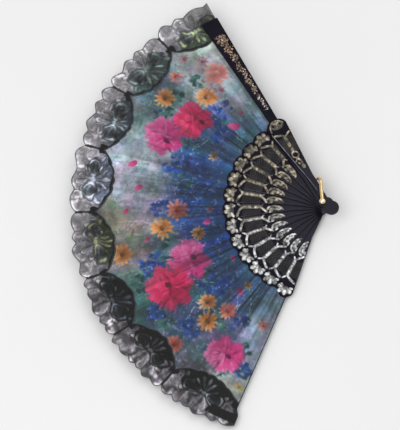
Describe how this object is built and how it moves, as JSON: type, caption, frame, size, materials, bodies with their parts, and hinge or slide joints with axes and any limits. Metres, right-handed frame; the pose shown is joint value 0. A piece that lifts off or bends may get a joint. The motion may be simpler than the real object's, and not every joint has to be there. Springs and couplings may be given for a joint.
{
  "type": "folding hand fan",
  "caption": "Folding hand fan, shown open: black plastic sticks and guards on a brass rivet, a flowered satin leaf with a lace edge, and a wire bail for a cord.",
  "frame": {"origin": "on the rivet's axis at its rear face, which is the lowest face of the fan lying on its back", "axes": "+Z out of the front face along the rivet, +Y from the rivet to the middle of the open leaf, +X to the front guard's side"},
  "size_m": [0.4289, 0.2503, 0.0258],
  "materials": {
    "stick_plastic": "semi-gloss black moulded plastic with metallic gold ornament in relief",
    "guard_plastic": "semi-gloss black moulded plastic with a gold foil spray of flowers",
    "leaf_satin": "thin satin, printed with pink, orange and blue flowers",
    "lace_trim": "black and silver-grey corded lace on net",
    "brass": "polished brass wire and rivet"
  },
  "bodies": {
    "rear_guard": {"rear_guard": "guard_plastic", "rivet": "brass", "leaf_panel_00": "leaf_satin", "lace_panel_00": "lace_trim"},
    "stick_01": {"stick_01": "stick_plastic", "leaf_panel_01": "leaf_satin", "lace_panel_01": "lace_trim"},
    "stick_02": {"stick_02": "stick_plastic", "leaf_panel_02": "leaf_satin", "lace_panel_02": "lace_trim"},
    "stick_03": {"stick_03": "stick_plastic", "leaf_panel_03": "leaf_satin", "lace_panel_03": "lace_trim"},
    "stick_04": {"stick_04": "stick_plastic", "leaf_panel_04": "leaf_satin", "lace_panel_04": "lace_trim"},
    "stick_05": {"stick_05": "stick_plastic", "leaf_panel_05": "leaf_satin", "lace_panel_05": "lace_trim"},
    "stick_06": {"stick_06": "stick_plastic", "leaf_panel_06": "leaf_satin", "lace_panel_06": "lace_trim"},
    "stick_07": {"stick_07": "stick_plastic", "leaf_panel_07": "leaf_satin", "lace_panel_07": "lace_trim"},
    "stick_08": {"stick_08": "stick_plastic", "leaf_panel_08": "leaf_satin", "lace_panel_08": "lace_trim"},
    "stick_09": {"stick_09": "stick_plastic", "leaf_panel_09": "leaf_satin", "lace_panel_09": "lace_trim"},
    "stick_10": {"stick_10": "stick_plastic", "leaf_panel_10": "leaf_satin", "lace_panel_10": "lace_trim"},
    "stick_11": {"stick_11": "stick_plastic", "leaf_panel_11": "leaf_satin", "lace_panel_11": "lace_trim"},
    "front_guard": {"front_guard": "guard_plastic", "leaf_panel_12": "leaf_satin", "lace_panel_12": "lace_trim"},
    "bail": {"bail": "brass"}
  },
  "joints": [
    {"name": "fold_01", "type": "hinge", "parent": "rear_guard", "child": "stick_01", "pos_m": [0, 0, 0], "axis": [0, 0, 1], "range_deg": [0, 10.55]},
    {"name": "fold_02", "type": "hinge", "parent": "stick_01", "child": "stick_02", "pos_m": [0, 0, 0], "axis": [0, 0, 1], "range_deg": [0, 10.55]},
    {"name": "fold_03", "type": "hinge", "parent": "stick_02", "child": "stick_03", "pos_m": [0, 0, 0], "axis": [0, 0, 1], "range_deg": [0, 10.55]},
    {"name": "fold_04", "type": "hinge", "parent": "stick_03", "child": "stick_04", "pos_m": [0, 0, 0], "axis": [0, 0, 1], "range_deg": [0, 10.55]},
    {"name": "fold_05", "type": "hinge", "parent": "stick_04", "child": "stick_05", "pos_m": [0, 0, 0], "axis": [0, 0, 1], "range_deg": [0, 10.55]},
    {"name": "fold_06", "type": "hinge", "parent": "stick_05", "child": "stick_06", "pos_m": [0, 0, 0], "axis": [0, 0, 1], "range_deg": [0, 10.55]},
    {"name": "fold_07", "type": "hinge", "parent": "stick_06", "child": "stick_07", "pos_m": [0, 0, 0], "axis": [0, 0, 1], "range_deg": [0, 10.55]},
    {"name": "fold_08", "type": "hinge", "parent": "stick_07", "child": "stick_08", "pos_m": [0, 0, 0], "axis": [0, 0, 1], "range_deg": [0, 10.55]},
    {"name": "fold_09", "type": "hinge", "parent": "stick_08", "child": "stick_09", "pos_m": [0, 0, 0], "axis": [0, 0, 1], "range_deg": [0, 10.55]},
    {"name": "fold_10", "type": "hinge", "parent": "stick_09", "child": "stick_10", "pos_m": [0, 0, 0], "axis": [0, 0, 1], "range_deg": [0, 10.55]},
    {"name": "fold_11", "type": "hinge", "parent": "stick_10", "child": "stick_11", "pos_m": [0, 0, 0], "axis": [0, 0, 1], "range_deg": [0, 10.55]},
    {"name": "fold_12", "type": "hinge", "parent": "stick_11", "child": "front_guard", "pos_m": [0, 0, 0], "axis": [0, 0, 1], "range_deg": [0, 10.55]},
    {"name": "bail_swing", "type": "hinge", "parent": "rear_guard", "child": "bail", "pos_m": [0, 0, 0], "axis": [0, 0, 1], "range_deg": [-193, 2]}
  ],
  "couplings": [
    {"joint": "fold_02", "follows": "fold_01", "ratio": 1},
    {"joint": "fold_03", "follows": "fold_01", "ratio": 1},
    {"joint": "fold_04", "follows": "fold_01", "ratio": 1},
    {"joint": "fold_05", "follows": "fold_01", "ratio": 1},
    {"joint": "fold_06", "follows": "fold_01", "ratio": 1},
    {"joint": "fold_07", "follows": "fold_01", "ratio": 1},
    {"joint": "fold_08", "follows": "fold_01", "ratio": 1},
    {"joint": "fold_09", "follows": "fold_01", "ratio": 1},
    {"joint": "fold_10", "follows": "fold_01", "ratio": 1},
    {"joint": "fold_11", "follows": "fold_01", "ratio": 1},
    {"joint": "fold_12", "follows": "fold_01", "ratio": 1}
  ]
}
